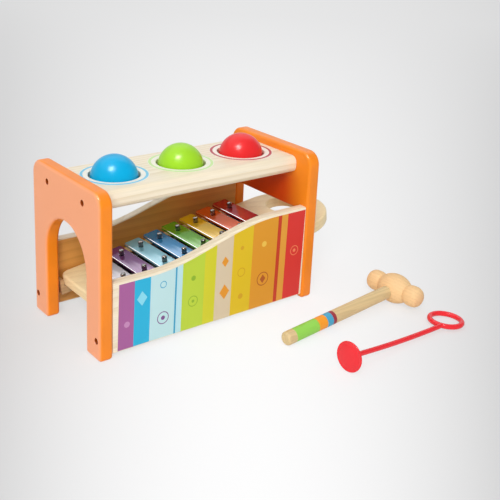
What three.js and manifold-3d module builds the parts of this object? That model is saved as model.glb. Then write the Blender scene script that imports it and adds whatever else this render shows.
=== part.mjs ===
// A pounding xylophone: a wooden bench with three balls to knock through its top,
// a sloping metal xylophone that slides out of its right end, a mallet and a beater.
// Millimetres, +Z up, +X along the bench towards the high end of the xylophone.
import * as THREE from 'three';
import { mergeVertices } from 'three/addons/utils/BufferGeometryUtils.js';
import Module from 'manifold-3d';

// Driving dimensions

// Clearances and fineness
const fit = 0.3;
const chordError = 0.2;
const edgeSteps = 2;
const ballSteps = 24;
const ballRings = 14;
const seatSteps = 30;
const tubeSides = 8;
const turnedSteps = 22;
const pinSteps = 10;

// Balls and their seats
const ballDiameter = 46;
const ballPitch = 75.5;
const ballSink = 3.9;
const ballHole = 49.6;
const seatTube = 3;
const seatBite = 0.8;

// Top board
const boardDepth = 90;
const boardThick = 17.5;
const boardDrop = 7.5;
const boardNose = 7;
const boardEndMargin = 13.7;

// End panels
const panelDepth = 131.6;
const panelHeight = 160;
const panelThick = 14;
const panelCorner = 14;
const panelFoot = 3.5;
const panelEdge = 2.6;
const archHalf = 39.5;
const archSpring = 75;
const windowMargin = 1;
const windowClear = 3.4;
const windowCorner = 3;

// Front and back panels
const skirtThick = 10;
const skirtInset = 1.8;
const skirtBottom = 4.5;
const skirtLow = 74;
const skirtHigh = 103;
const skirtEdge = 1.5;
const waveHalf = 75;
const waveSteps = 18;

// Screws and dowels of the bench
const screwHead = 5.4;
const screwHeadThick = 2;
const screwRecess = 2.5;
const screwShank = 3.4;
const screwLength = 34;
const boardScrewInset = 10.5;
const skirtScrewHeight = 19.5;
const dowelDiameter = 6;
const dowelLength = 24;
const dowelInPanel = 9.5;
const dowelHeight = 50;

// Xylophone
const baseSlopeDegrees = 8;
const barSlopeDegrees = 9.76;
const barTopHeight = 66.8;
const barCount = 8;
const barPitch = 23.24;
const barRowShift = 2.9;
const barWidth = 18.7;
const barThick = 3;
const barCorner = 2.5;
const barMargin = 5;
const barStep = 2;
const railWidth = 6;
const railOverhang = 3;
const railLow = 2.5;
const feltThick = 2;
const pinShare = 0.535;
const pinShank = 4;
const pinHead = 5.2;
const pinRise = 5.7;
const pinDepth = 8;
const baseThick = 12;
const baseEdge = 2.4;
const baseCorner = 9;
const baseSideGap = 2.8;
const roundEndAhead = 7;
const slotAhead = 20.3;
const slotWidth = 32;
const slotWall = 20.2;

// Runners that carry the xylophone
const runnerOverlap = 9;
const runnerThick = 8;
const stopThick = 4;
const stopHeight = 7;

// Mallet
const headRadius = 15.5;
const knobRadius = 11;
const grooveRadius = 9.2;
const grooveAt = 16.5;
const headHalf = 34.5;
const handleDiameter = 13.7;
const handleLength = 160.5;
const handleSocket = 9;
const handleRound = 3;
const malletPastEnd = 65.1;
const malletAhead = 58.7;
const malletTurn = 3;

// Beater
const discDiameter = 29.4;
const discThick = 2.4;
const discDome = 0.8;
const stickDiameter = 5;
const stickBow = 6;
const stickSteps = 6;
const ringOuter = 37.7;
const ringTube = 5.4;
const beaterLength = 150.8;
const beaterPastEnd = -77.2;
const beaterAhead = 133.8;
const beaterTurn = 4.35;
const ringTurn = 20;

// Sizes that follow from the driving dimensions
const slope = THREE.MathUtils.degToRad(baseSlopeDegrees);
const rise = Math.tan(slope);
const wedge = THREE.MathUtils.degToRad(barSlopeDegrees - baseSlopeDegrees);
const innerHalf = ballPitch + ballHole / 2 + boardEndMargin;
const outerHalf = innerHalf + panelThick;
const boardTop = panelHeight - boardDrop;
const boardBottom = boardTop - boardThick;
const boardMiddle = boardTop - boardThick / 2;
const boardScrewHalf = boardDepth / 2 - boardScrewInset;
const skirtOuter = panelDepth / 2 - skirtInset;
const skirtInner = skirtOuter - skirtThick;
const skirtMiddle = skirtOuter - skirtThick / 2;
const windowHalf = skirtInner + windowMargin;
const baseHalf = skirtInner - baseSideGap;
const baseStart = -(innerHalf - stopThick - 4 * fit) / Math.cos(slope);
const lastBar = barRowShift + barPitch * (barCount - 1) / 2;
const railReach = barPitch * (barCount - 1) / 2 + barWidth / 2 + railOverhang;
const railStart = barRowShift - railReach;
const railEnd = barRowShift + railReach;
const feltTop = barThick + fit;
const railTop = feltTop + feltThick + fit;
const barLift = (fit + railLow + railTop / Math.cos(wedge) - railStart * Math.tan(wedge))
  / (Math.cos(slope) - Math.sin(slope) * Math.tan(wedge));
const barRise = barLift * Math.cos(slope);
const barSide = barLift * Math.sin(slope);
const baseTopHeight = barTopHeight - barLift;
const windowSill = baseTopHeight - baseThick / Math.cos(slope) + rise * innerHalf - 2 * fit;
const windowTop = baseTopHeight + (barLevel(lastBar, 0) + pinRise) / Math.cos(slope)
  + rise * outerHalf + windowClear;

const pine = [0xead9b4, 0.55, 0];
const panelOrange = [0xf28a35, 0.4, 0];
const rubberBlack = [0x26262a, 0.8, 0];
const screwSteel = [0x4b4640, 0.4, 0.9];
const pinSteel = [0x8c8f92, 0.35, 0.9];
const feltDark = [0x2b2a2e, 0.95, 0];
const beechHead = [0xf0c893, 0.5, 0];
const beechHandle = [0xc9ae7e, 0.5, 0];
const redPlastic = [0xe0262c, 0.3, 0];
const barColours = [0xd9dde6, 0x9a5f9e, 0x8fd0e4, 0x2f86cf, 0x6cc232, 0xf0cf2d, 0xf0722b, 0xc9202b];
const ballColours = { blue: 0x1597d8, green: 0x8fce2f, red: 0xee312e };

// Height over the base, at x along it, of the line that runs depth under the tops of the bars.
function barLevel(x, depth) {
  return barRise - depth / Math.cos(wedge) + (x - barSide) * Math.tan(wedge);
}

// Geometry helpers

const wasm = await Module();
wasm.setup();

function toSolid(geometry) {
  const bare = geometry.index ? geometry.toNonIndexed() : geometry.clone();
  bare.deleteAttribute('normal');
  bare.deleteAttribute('uv');
  const merged = mergeVertices(bare, 1e-4);
  return new wasm.Manifold(new wasm.Mesh({
    numProp: 3,
    vertProperties: new Float32Array(merged.attributes.position.array),
    triVerts: new Uint32Array(merged.index.array),
  }));
}

function toGeometry(solid) {
  const mesh = solid.getMesh();
  const geometry = new THREE.BufferGeometry();
  geometry.setAttribute('position', new THREE.BufferAttribute(mesh.vertProperties, 3));
  geometry.setIndex(new THREE.BufferAttribute(mesh.triVerts, 1));
  geometry.computeVertexNormals();
  return geometry;
}

function cut(body, ...tools) {
  return toGeometry(tools.reduce((solid, tool) => solid.subtract(toSolid(tool)), toSolid(body)));
}

function join(first, ...others) {
  return toGeometry(others.reduce((solid, other) => solid.add(toSolid(other)), toSolid(first)));
}

// Number of straight steps for an arc, so that no chord strays past chordError.
function arcSteps(radius, angle) {
  const step = 2 * Math.acos(1 - Math.min(chordError / radius, 0.5));
  return Math.max(2, Math.ceil(angle / step));
}

function roundSteps(radius) {
  return Math.max(10, arcSteps(radius, 2 * Math.PI));
}

// Points of a polygon whose corners, given as [x, y, radius], are rounded.
function roundedPoints(corners) {
  const points = [];
  corners.forEach(([x, y, radius], i) => {
    const corner = new THREE.Vector2(x, y);
    const [px, py] = corners.at(i - 1);
    const [nx, ny] = corners[(i + 1) % corners.length];
    const before = new THREE.Vector2(px, py).sub(corner).normalize();
    const after = new THREE.Vector2(nx, ny).sub(corner).normalize();
    const half = Math.acos(THREE.MathUtils.clamp(before.dot(after), -1, 1)) / 2;
    if (!radius) {
      points.push(corner);
      return;
    }
    const start = corner.clone().addScaledVector(before, radius / Math.tan(half));
    const centre = corner.clone().addScaledVector(
      before.clone().add(after).normalize(), radius / Math.sin(half));
    const turn = Math.sign(before.cross(after)) * -(Math.PI - 2 * half);
    const steps = arcSteps(radius, Math.abs(turn));
    for (let k = 0; k <= steps; k += 1) {
      points.push(start.clone().rotateAround(centre, turn * k / steps));
    }
  });
  return points.filter((point, i) => point.distanceTo(points.at(i - 1)) > 1e-3);
}

function roundedShape(corners) {
  return new THREE.Shape(roundedPoints(corners));
}

// A flat plate from z = 0 to its thickness, with its edges rounded over.
function plate(shape, thickness, edge) {
  return new THREE.ExtrudeGeometry(shape, {
    depth: thickness - 2 * edge,
    bevelEnabled: edge > 0,
    bevelThickness: edge,
    bevelSize: edge,
    bevelOffset: -edge,
    bevelSegments: edgeSteps,
  }).translate(0, 0, edge);
}

// Turns a plate drawn in the (Y, Z) plane, so that its thickness runs along +X.
function faceX(geometry) {
  const basis = new THREE.Matrix4().makeBasis(
    new THREE.Vector3(0, 1, 0), new THREE.Vector3(0, 0, 1), new THREE.Vector3(1, 0, 0));
  return geometry.applyMatrix4(basis);
}

// Turns a plate drawn in the (X, Z) plane, so that its thickness runs along -Y.
function faceY(geometry) {
  return geometry.rotateX(Math.PI / 2);
}

function rodX(diameter, from, to, y, z) {
  return new THREE.CylinderGeometry(diameter / 2, diameter / 2, to - from, roundSteps(diameter / 2))
    .rotateZ(-Math.PI / 2).translate((from + to) / 2, y, z);
}

function rodZ(diameter, from, to, x, y) {
  return new THREE.CylinderGeometry(diameter / 2, diameter / 2, to - from, roundSteps(diameter / 2))
    .rotateX(Math.PI / 2).translate(x, y, (from + to) / 2);
}

// A solid of revolution about +Z from [radius, height] points, lowest first.
function turned(profile, steps) {
  const points = profile.map(([radius, height]) => new THREE.Vector2(radius, height));
  return new THREE.LatheGeometry(points, steps).rotateX(Math.PI / 2);
}

function tore(radius, tube, steps, sides) {
  return new THREE.TorusGeometry(radius, tube / 2, sides, steps);
}

function piece(parent, name, geometry, [color, roughness, metalness]) {
  const mesh = new THREE.Mesh(geometry, new THREE.MeshStandardMaterial({ color, roughness, metalness }));
  mesh.name = name;
  parent.add(mesh);
  return mesh;
}

const sides = [['front', -1], ['back', 1]];
const ends = [['left', -1], ['right', 1]];

// Bench

// Every place where a screw or a dowel joins an end panel to a board.
const screwPlaces = sides.flatMap(([side, sign]) => [
  [`board_screw_${side}`, sign * boardScrewHalf, boardMiddle],
  [`skirt_screw_${side}`, sign * skirtMiddle, skirtScrewHeight],
]);
const screwTip = outerHalf - screwRecess - screwLength;
const screwSeat = outerHalf - screwRecess - screwHeadThick;
const dowelOuter = innerHalf + dowelInPanel;
const dowelInner = dowelOuter - dowelLength;

function panelCuts() {
  const cuts = screwPlaces.flatMap(([, y, z]) => [
    rodX(screwHead + 2 * fit, screwSeat - fit, outerHalf + 1, y, z),
    rodX(screwShank + 2 * fit, innerHalf - 1, screwSeat, y, z),
  ]);
  const bores = sides.map(([, sign]) => rodX(
    dowelDiameter + 2 * fit, innerHalf - 1, dowelOuter + fit, sign * skirtMiddle, dowelHeight));
  return [...cuts, ...bores];
}

function panelOutline() {
  return [
    [panelDepth / 2, 0, panelFoot],
    [panelDepth / 2, panelHeight, panelCorner],
    [-panelDepth / 2, panelHeight, panelCorner],
    [-panelDepth / 2, 0, panelFoot],
  ];
}

function archOutline() {
  return [
    [-archHalf, 0, panelFoot],
    [-archHalf, archSpring + archHalf, archHalf],
    [archHalf, archSpring + archHalf, archHalf],
    [archHalf, 0, panelFoot],
  ];
}

function windowOutline() {
  return [
    [-windowHalf, windowSill, windowCorner],
    [windowHalf, windowSill, windowCorner],
    [windowHalf, windowTop, windowCorner],
    [-windowHalf, windowTop, windowCorner],
  ];
}

function addEndPanels(bench) {
  const left = roundedShape([...panelOutline(), ...archOutline()]);
  const right = roundedShape(panelOutline());
  right.holes.push(new THREE.Path(roundedPoints(windowOutline())));
  const mirror = panelCuts().map((tool) => tool.rotateZ(Math.PI));
  const leftPlate = faceX(plate(left, panelThick, panelEdge)).translate(-outerHalf, 0, 0);
  const rightPlate = faceX(plate(right, panelThick, panelEdge)).translate(innerHalf, 0, 0);
  piece(bench, 'left_end_panel', cut(leftPlate, ...mirror), panelOrange);
  piece(bench, 'right_end_panel', cut(rightPlate, ...panelCuts()), panelOrange);
}

const balls = [['blue', -ballPitch], ['green', 0], ['red', ballPitch]];
const ballHeight = boardTop - ballSink;
const seatRadius = ballHole / 2 + seatBite - seatTube / 2;
const seatReach = ballDiameter / 2 + fit + seatTube / 2;
const seatHeight = ballHeight - Math.sqrt(seatReach ** 2 - seatRadius ** 2);

function boardBores() {
  return ends.flatMap(([, end]) => sides.map(([, side]) => rodX(
    screwShank + 2 * fit, Math.min(end * innerHalf, end * (screwTip - fit)) - (end < 0 ? 1 : 0),
    Math.max(end * innerHalf, end * (screwTip - fit)) + (end > 0 ? 1 : 0),
    side * boardScrewHalf, boardMiddle)));
}

function addTopBoard(bench) {
  const section = roundedShape([
    [-boardDepth / 2, boardBottom, boardNose],
    [boardDepth / 2, boardBottom, boardNose],
    [boardDepth / 2, boardTop, boardNose],
    [-boardDepth / 2, boardTop, boardNose],
  ]);
  const length = 2 * (innerHalf - fit);
  const blank = faceX(plate(section, length, 0)).translate(-length / 2, 0, 0);
  const holes = balls.flatMap(([, x]) => [
    rodZ(ballHole, boardBottom - 1, boardTop + 1, x, 0),
    tore(seatRadius, seatTube + 2 * fit, seatSteps, tubeSides).translate(x, 0, seatHeight),
  ]);
  piece(bench, 'top_board', cut(blank, ...holes, ...boardBores()), pine);
}

function addBallsAndSeats(bench) {
  balls.forEach(([colour, x]) => {
    const ball = new THREE.SphereGeometry(ballDiameter / 2, ballSteps, ballRings).rotateX(Math.PI / 2);
    piece(bench, `${colour}_ball`, ball, [ballColours[colour], 0.15, 0]).position.set(x, 0, ballHeight);
    const seat = tore(seatRadius, seatTube, seatSteps, tubeSides);
    piece(bench, `${colour}_ball_seat`, seat, rubberBlack).position.set(x, 0, seatHeight);
  });
}

// Top edge of the front and back panels, low at the left and high at the right.
function skirtTop(x) {
  const middle = (skirtHigh + skirtLow) / 2;
  const swing = (skirtHigh - skirtLow) / 2;
  return middle + swing * Math.sin(Math.PI / 2 * THREE.MathUtils.clamp(x / waveHalf, -1, 1));
}

function skirtOutline() {
  const reach = innerHalf - fit;
  const wave = Array.from({ length: waveSteps + 1 }, (_, k) => {
    const x = waveHalf * (1 - 2 * k / waveSteps);
    return [x, skirtTop(x), 0];
  });
  return [
    [-reach, skirtBottom, 0],
    [reach, skirtBottom, 0],
    [reach, skirtHigh, 0],
    ...wave,
    [-reach, skirtLow, 0],
  ];
}

function addSkirts(bench) {
  sides.forEach(([side, sign]) => {
    const blank = faceY(plate(roundedShape(skirtOutline()), skirtThick, skirtEdge));
    blank.translate(0, sign * skirtMiddle + skirtThick / 2, 0);
    const bores = ends.flatMap(([, end]) => [
      [screwShank, screwTip, skirtScrewHeight],
      [dowelDiameter, dowelInner, dowelHeight],
    ].map(([diameter, tip, height]) => {
      const reach = [end * (tip - fit), end * (innerHalf + 1)].sort((a, b) => a - b);
      return rodX(diameter + 2 * fit, ...reach, sign * skirtMiddle, height);
    }));
    piece(bench, `${side}_panel`, cut(blank, ...bores), pine);
  });
}

function addScrewsAndDowels(bench) {
  ends.forEach(([end, sign]) => {
    const half = new THREE.Group();
    half.rotation.z = sign < 0 ? Math.PI : 0;
    bench.add(half);
    screwPlaces.forEach(([name, y, z]) => {
      const profile = [
        [0, 0],
        [screwShank / 2 * 0.4, 0],
        [screwShank / 2, screwShank],
        [screwShank / 2, screwLength - screwHeadThick],
        [screwHead / 2, screwLength - screwHeadThick],
        [screwHead / 2, screwLength],
        [0, screwLength],
      ];
      const screw = turned(profile, roundSteps(screwHead / 2)).rotateY(Math.PI / 2);
      piece(half, `${end}_${name}`, screw, screwSteel).position.set(screwTip, sign * y, z);
    });
    sides.forEach(([side, y]) => {
      const dowel = rodX(dowelDiameter, dowelInner, dowelOuter, sign * y * skirtMiddle, dowelHeight);
      piece(half, `${end}_dowel_${side}`, dowel, beechHandle);
    });
  });
}

// Strips along the front and back panels, with a stop at their low end.
function addRunners(slopeFrame) {
  const top = -baseThick - fit;
  const bottom = top - runnerThick;
  const stopFace = baseStart - fit;
  const farEnd = (innerHalf - fit + bottom * Math.sin(slope)) / Math.cos(slope);
  const outline = roundedShape([
    [stopFace - stopThick, bottom, 0],
    [farEnd, bottom, 0],
    [farEnd, top, 0],
    [stopFace, top, 0],
    [stopFace, top + stopHeight, 0],
    [stopFace - stopThick, top + stopHeight, 0],
  ]);
  const width = skirtInner - fit - (baseHalf - runnerOverlap);
  sides.forEach(([side, sign]) => {
    const strip = faceY(plate(outline, width, 0));
    const middle = sign * (skirtInner - fit - width / 2);
    piece(slopeFrame, `${side}_runner`, strip.translate(0, middle + width / 2, 0), pine);
  });
}

// Xylophone, drawn on the slope: x runs up the slope and z = 0 is the top of its base.

const barPlaces = Array.from({ length: barCount }, (_, k) => ({
  number: k + 1,
  x: barRowShift + barPitch * (k - (barCount - 1) / 2),
  half: baseHalf - barMargin - barStep / 2 * (barCount - 1 - k),
}));

// The bars lie on a wedge, so each pin stands where its bar's hole comes over the base.
const pinPlaces = barPlaces.map(({ number, x, half }) => ({
  number,
  x: barSide + x * Math.cos(wedge) + barThick / 2 * Math.sin(wedge),
  reach: pinShare * half,
}));

function baseOutline() {
  const centre = (outerHalf + roundEndAhead) / Math.cos(slope);
  return [
    [centre + baseHalf, baseHalf, baseHalf],
    [baseStart, baseHalf, baseCorner],
    [baseStart, -baseHalf, baseCorner],
    [centre + baseHalf, -baseHalf, baseHalf],
  ];
}

function slotOutline() {
  const centre = (outerHalf + slotAhead) / Math.cos(slope);
  const half = slotWidth / 2;
  const reach = baseHalf - slotWall;
  return [
    [centre + half, reach, half],
    [centre - half, reach, half],
    [centre - half, -reach, half],
    [centre + half, -reach, half],
  ];
}

function addBase(xylophone) {
  const shape = roundedShape(baseOutline());
  shape.holes.push(new THREE.Path(roundedPoints(slotOutline())));
  const blank = plate(shape, baseThick, baseEdge).translate(0, 0, -baseThick);
  const bores = pinPlaces.flatMap(({ x, reach }) => sides.map(([, sign]) => rodZ(
    pinShank + 2 * fit, -pinDepth - fit, 1, x, sign * reach)));
  piece(xylophone, 'xylophone_base', cut(blank, ...bores), pine);
}

// Wedge-shaped rails with a felt strip on top, inside the pins of the shortest bar.
function addRails(xylophone) {
  const inset = pinShank / 2 + 2 * fit + railWidth / 2;
  const middle = pinPlaces[0].reach - inset;
  const strip = (low, high) => roundedShape([
    [railStart, low(railStart), 0],
    [railEnd, low(railEnd), 0],
    [railEnd, high(railEnd), 0],
    [railStart, high(railStart), 0],
  ]);
  const rail = strip(() => fit, (x) => barLevel(x, railTop));
  const felt = strip((x) => barLevel(x, feltTop + feltThick), (x) => barLevel(x, feltTop));
  sides.forEach(([side, sign]) => {
    const outer = sign * middle + railWidth / 2;
    piece(xylophone, `${side}_rail`, faceY(plate(rail, railWidth, 0)).translate(0, outer, 0), pine);
    piece(xylophone, `${side}_felt_strip`, faceY(plate(felt, railWidth, 0)).translate(0, outer, 0), feltDark);
  });
}

function addBars(xylophone) {
  const row = new THREE.Group();
  row.rotation.y = -wedge;
  row.position.set(barSide, 0, barRise);
  xylophone.add(row);
  barPlaces.forEach(({ number, x, half }) => {
    const shape = roundedShape([
      [barWidth / 2, half, barCorner],
      [-barWidth / 2, half, barCorner],
      [-barWidth / 2, -half, barCorner],
      [barWidth / 2, -half, barCorner],
    ]);
    sides.forEach(([, sign]) => {
      const radius = pinShank / 2 + 2 * fit;
      const circle = new THREE.Path().absarc(0, sign * pinShare * half, radius, 0, 2 * Math.PI);
      shape.holes.push(new THREE.Path(circle.getSpacedPoints(pinSteps).slice(0, pinSteps)));
    });
    const colour = barColours[(number - 1) % barColours.length];
    const bar = piece(row, `tone_bar_${number}`, plate(shape, barThick, 0), [colour, 0.3, 0.6]);
    bar.position.set(x, 0, -barThick);
  });
}

function addPins(xylophone) {
  const dome = pinHead / 4;
  pinPlaces.forEach(({ number, x, reach }) => {
    const seat = barLevel(x, 0) + fit;
    const top = seat - fit + pinRise;
    const profile = [
      [0, -pinDepth],
      [pinShank / 2, -pinDepth],
      [pinShank / 2, seat],
      [pinHead / 2, seat],
      [pinHead / 2, top - dome],
      [pinHead / 2 * 0.75, top - dome * 0.35],
      [0, top],
    ];
    sides.forEach(([side, sign]) => {
      const pin = piece(xylophone, `bar_pin_${number}_${side}`, turned(profile, pinSteps), pinSteel);
      pin.position.set(x, sign * reach, 0);
    });
  });
}

// Mallet: a turned head with a knob at each end, on a plain round handle.

// Radius of the head at a distance from its middle: a barrel, a groove and a knob.
function headProfile() {
  const barrel = new THREE.QuadraticBezierCurve(
    new THREE.Vector2(headRadius, 0),
    new THREE.Vector2(headRadius, grooveAt * 0.55),
    new THREE.Vector2(grooveRadius, grooveAt));
  const knobMiddle = (grooveAt + headHalf) / 2 - 1;
  const knob = new THREE.QuadraticBezierCurve(
    new THREE.Vector2(grooveRadius, grooveAt),
    new THREE.Vector2(knobRadius, grooveAt + knobRadius / 5),
    new THREE.Vector2(knobRadius, knobMiddle));
  const tip = new THREE.CubicBezierCurve(
    new THREE.Vector2(knobRadius, knobMiddle),
    new THREE.Vector2(knobRadius, headHalf - knobRadius / 4),
    new THREE.Vector2(knobRadius * 0.62, headHalf),
    new THREE.Vector2(0, headHalf));
  const points = [...barrel.getPoints(5), ...knob.getPoints(3).slice(1), ...tip.getPoints(6).slice(1)];
  const mirrored = points.slice(1).toReversed().map((point) => [point.x, -point.y]);
  return [...mirrored, ...points.map((point) => [point.x, point.y])];
}

function addMallet(set) {
  const mallet = new THREE.Group();
  const head = turned(headProfile(), turnedSteps).rotateX(Math.PI / 2);
  const socket = rodX(handleDiameter + 2 * fit, -headRadius - 1, handleSocket + fit, 0, 0);
  piece(mallet, 'mallet_head', cut(head, socket), beechHead);
  const radius = handleDiameter / 2;
  const shaft = handleLength + handleSocket;
  const profile = [
    [0, 0],
    [radius - handleRound, 0],
    [radius - handleRound * 0.3, handleRound * 0.3],
    [radius, handleRound],
    [radius, shaft],
    [0, shaft],
  ];
  const handle = turned(profile, turnedSteps).rotateY(Math.PI / 2).translate(-handleLength, 0, 0);
  piece(mallet, 'mallet_handle', handle, beechHandle);
  const droop = Math.asin((headRadius - radius) / handleLength);
  mallet.rotation.set(0, -droop, THREE.MathUtils.degToRad(malletTurn), 'ZYX');
  mallet.position.set(outerHalf + malletPastEnd, -panelDepth / 2 - malletAhead, 0);
  set.add(mallet);
  standOnFloor(mallet);
}

// Beater: a disc, a stick and a finger ring, moulded in one.
function addBeater(set) {
  const beater = new THREE.Group();
  const discRadius = discDiameter / 2;
  const tubeRadius = (ringOuter - ringTube) / 2;
  const disc = turned([
    [0, -discDome],
    [discRadius * 0.6, -discDome * 0.65],
    [discRadius * 0.92, 0],
    [discRadius, discThick * 0.3],
    [discRadius, discThick * 0.8],
    [discRadius * 0.9, discThick],
    [0, discThick],
  ], turnedSteps).rotateY(Math.PI / 2);
  const turn = THREE.MathUtils.degToRad(ringTurn);
  const ring = tore(tubeRadius, ringTube, seatSteps, tubeSides).translate(beaterLength, 0, 0);
  const path = new THREE.QuadraticBezierCurve3(
    new THREE.Vector3(discThick / 2, 0, 0),
    new THREE.Vector3(beaterLength / 2, 0, -stickBow),
    new THREE.Vector3(beaterLength - tubeRadius * Math.cos(turn), -tubeRadius * Math.sin(turn), 0));
  const circle = new THREE.Path().absarc(0, 0, stickDiameter / 2, 0, 2 * Math.PI);
  const section = new THREE.Shape(circle.getSpacedPoints(tubeSides).slice(0, tubeSides));
  const stick = new THREE.ExtrudeGeometry(section, { steps: stickSteps, extrudePath: path });
  const web = plate(roundedShape([
    [-tubeRadius * 1.9, -stickDiameter * 0.3, 0],
    [-tubeRadius * 0.55, -tubeRadius * 0.84, 0],
    [-tubeRadius * 0.95, 0, 0],
    [-tubeRadius * 0.55, tubeRadius * 0.84, 0],
    [-tubeRadius * 1.9, stickDiameter * 0.3, 0],
  ]), ringTube / 2, 0).translate(0, 0, -ringTube / 4).rotateZ(turn).translate(beaterLength, 0, 0);
  piece(beater, 'beater', join(disc, stick, ring, web), redPlastic);
  const droop = Math.atan2(discRadius - ringTube / 2, beaterLength + tubeRadius);
  beater.rotation.set(0, droop, THREE.MathUtils.degToRad(beaterTurn), 'ZYX');
  beater.position.set(outerHalf + beaterPastEnd, -panelDepth / 2 - beaterAhead, 0);
  set.add(beater);
  standOnFloor(beater);
}

function standOnFloor(group) {
  group.position.z -= new THREE.Box3().setFromObject(group, true).min.z;
}

// The whole set, with its origin under the middle of its box

const set = new THREE.Group();
const bench = new THREE.Group();
const slopeFrame = new THREE.Group();
const xylophone = new THREE.Group();
set.add(bench);
bench.add(slopeFrame);
slopeFrame.add(xylophone);
slopeFrame.position.z = baseTopHeight;
slopeFrame.rotation.y = -slope;

addEndPanels(bench);
addTopBoard(bench);
addBallsAndSeats(bench);
addSkirts(bench);
addScrewsAndDowels(bench);
addRunners(slopeFrame);
addBase(xylophone);
addRails(xylophone);
addBars(xylophone);
addPins(xylophone);
addMallet(set);
addBeater(set);

const box = new THREE.Box3().setFromObject(set, true);
const middle = box.getCenter(new THREE.Vector3());
set.position.set(-middle.x, -middle.y, -box.min.z);

export default set;
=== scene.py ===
"""Visual model of a pounding xylophone: bench, balls, slide-out xylophone, mallet and beater."""

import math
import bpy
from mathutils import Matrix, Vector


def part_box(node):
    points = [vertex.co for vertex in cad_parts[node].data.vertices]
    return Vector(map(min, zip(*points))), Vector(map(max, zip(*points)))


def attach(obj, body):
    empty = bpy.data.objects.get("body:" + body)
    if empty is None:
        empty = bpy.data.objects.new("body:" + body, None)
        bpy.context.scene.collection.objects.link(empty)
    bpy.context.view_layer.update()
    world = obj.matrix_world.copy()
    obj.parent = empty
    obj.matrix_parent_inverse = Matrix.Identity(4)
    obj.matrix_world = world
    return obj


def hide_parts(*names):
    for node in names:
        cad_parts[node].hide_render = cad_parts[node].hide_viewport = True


bl_info = {
    "name": "Pounding Xylophone",
    "version": (1, 0, 0),
    "blender": (4, 5, 0),
    "location": "View3D > Sidebar > Xylophone",
    "description": "Builds the dressed pieces of a wooden pounding xylophone over its CAD frame",
    "category": "Object",
}

import bmesh
import bpy
import numpy as np
from bpy.props import FloatProperty, FloatVectorProperty, PointerProperty
from mathutils import Matrix, Vector
from mathutils.geometry import tessellate_polygon

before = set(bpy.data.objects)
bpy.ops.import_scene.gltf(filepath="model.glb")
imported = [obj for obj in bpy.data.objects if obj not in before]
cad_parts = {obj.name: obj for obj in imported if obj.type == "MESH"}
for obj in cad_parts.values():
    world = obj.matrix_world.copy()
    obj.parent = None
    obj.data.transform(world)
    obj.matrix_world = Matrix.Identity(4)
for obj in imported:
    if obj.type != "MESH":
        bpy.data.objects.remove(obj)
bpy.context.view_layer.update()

# Lengths are in metres, written as millimetres times MM.
MM = 0.001

# The bench's own middle on the floor, in the frame of the whole set.
left_low, left_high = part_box("left_end_panel")
right_low, right_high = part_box("right_end_panel")
BENCH = np.array(((left_low.x + right_high.x) / 2, (left_low.y + left_high.y) / 2, 0.0))
OUTER_HALF = (right_high.x - left_low.x) / 2
INNER_HALF = (right_low.x - left_high.x) / 2
PANEL_DEPTH = left_high.y - left_low.y
PANEL_HEIGHT = left_high.z
BOARD_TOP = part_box("top_board")[1].z
SKIRT_LOW_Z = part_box("front_panel")[0].z
SKIRT_FRONT_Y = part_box("front_panel")[0].y - BENCH[1]
SKIRT_BACK_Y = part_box("back_panel")[0].y - BENCH[1]

# Slopes and levels of the xylophone, as on the solids.
BASE_SLOPE = math.radians(8)
WEDGE = math.radians(1.76)
BASE_TOP = 55.449 * MM
BAR_RISE = 11.241 * MM
BAR_SIDE = 1.580 * MM
BAR_COUNT = 8
BALLS = ("blue", "green", "red")
SIDES = (("front", -1), ("back", 1))


def linear(code):
    """Turns an sRGB hex colour into linear red, green and blue."""
    values = np.array([int(code[i:i + 2], 16) for i in (1, 3, 5)]) / 255
    return tuple(np.where(values <= 0.04045, values / 12.92, ((values + 0.055) / 1.055) ** 2.4))


def length(label, value, note):
    return FloatProperty(name=label, description=note, default=value * MM, min=0.0, unit="LENGTH")


def colour(label, code, note):
    return FloatVectorProperty(name=label, description=note, default=linear(code), size=3,
                               min=0.0, max=1.0, subtype="COLOR")


class BenchSizes(bpy.types.PropertyGroup):
    """Sizes of the bench that a maker would change"""

    panel_edge: length("Panel edge", 3.2, "Rounding along the edges of the end panels")
    panel_corner: length("Panel corner", 14, "Radius of the end panels' top corners")
    panel_foot: length("Panel foot", 3.5, "Radius of the end panels' bottom corners")
    arch_half: length("Arch half width", 39.5, "Half the width of the arch in the left panel")
    arch_spring: length("Arch spring", 75, "Height at which the arch starts to curve")
    window_half: length("Window half width", 55, "Half the width of the window in the right panel")
    window_sill: length("Window sill", 58.75, "Height of the window's lower edge")
    window_top: length("Window top", 96.51, "Height of the window's upper edge")
    board_depth: length("Board depth", 90, "Depth of the top board")
    board_thick: length("Board thickness", 17.5, "Thickness of the top board")
    board_nose: length("Board nose", 7, "Rounding along the top board's long edges")
    ball_pitch: length("Ball pitch", 75.5, "Distance between neighbouring balls")
    ball_hole: length("Ball hole", 49.6, "Diameter of the holes in the top board")
    hole_rim: length("Hole rim", 0.9, "Rounding at the rim of the ball holes")
    skirt_thick: length("Skirt thickness", 10, "Thickness of the front and back panels")
    skirt_edge: length("Skirt edge", 1.5, "Rounding along the edges of the front and back panels")
    skirt_low: length("Skirt low", 74, "Height of the wave at its low end")
    skirt_high: length("Skirt high", 103, "Height of the wave at its high end")
    wave_half: length("Wave half length", 75, "Half the length over which the wave rises")
    screw_bore: length("Screw bore", 6, "Diameter of the deep holes over the screws")
    ring_radius: length("Painted ring", 31, "Radius of the painted rings round the balls")
    ring_width: length("Painted ring width", 2.7, "Width of the painted rings round the balls")


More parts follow.
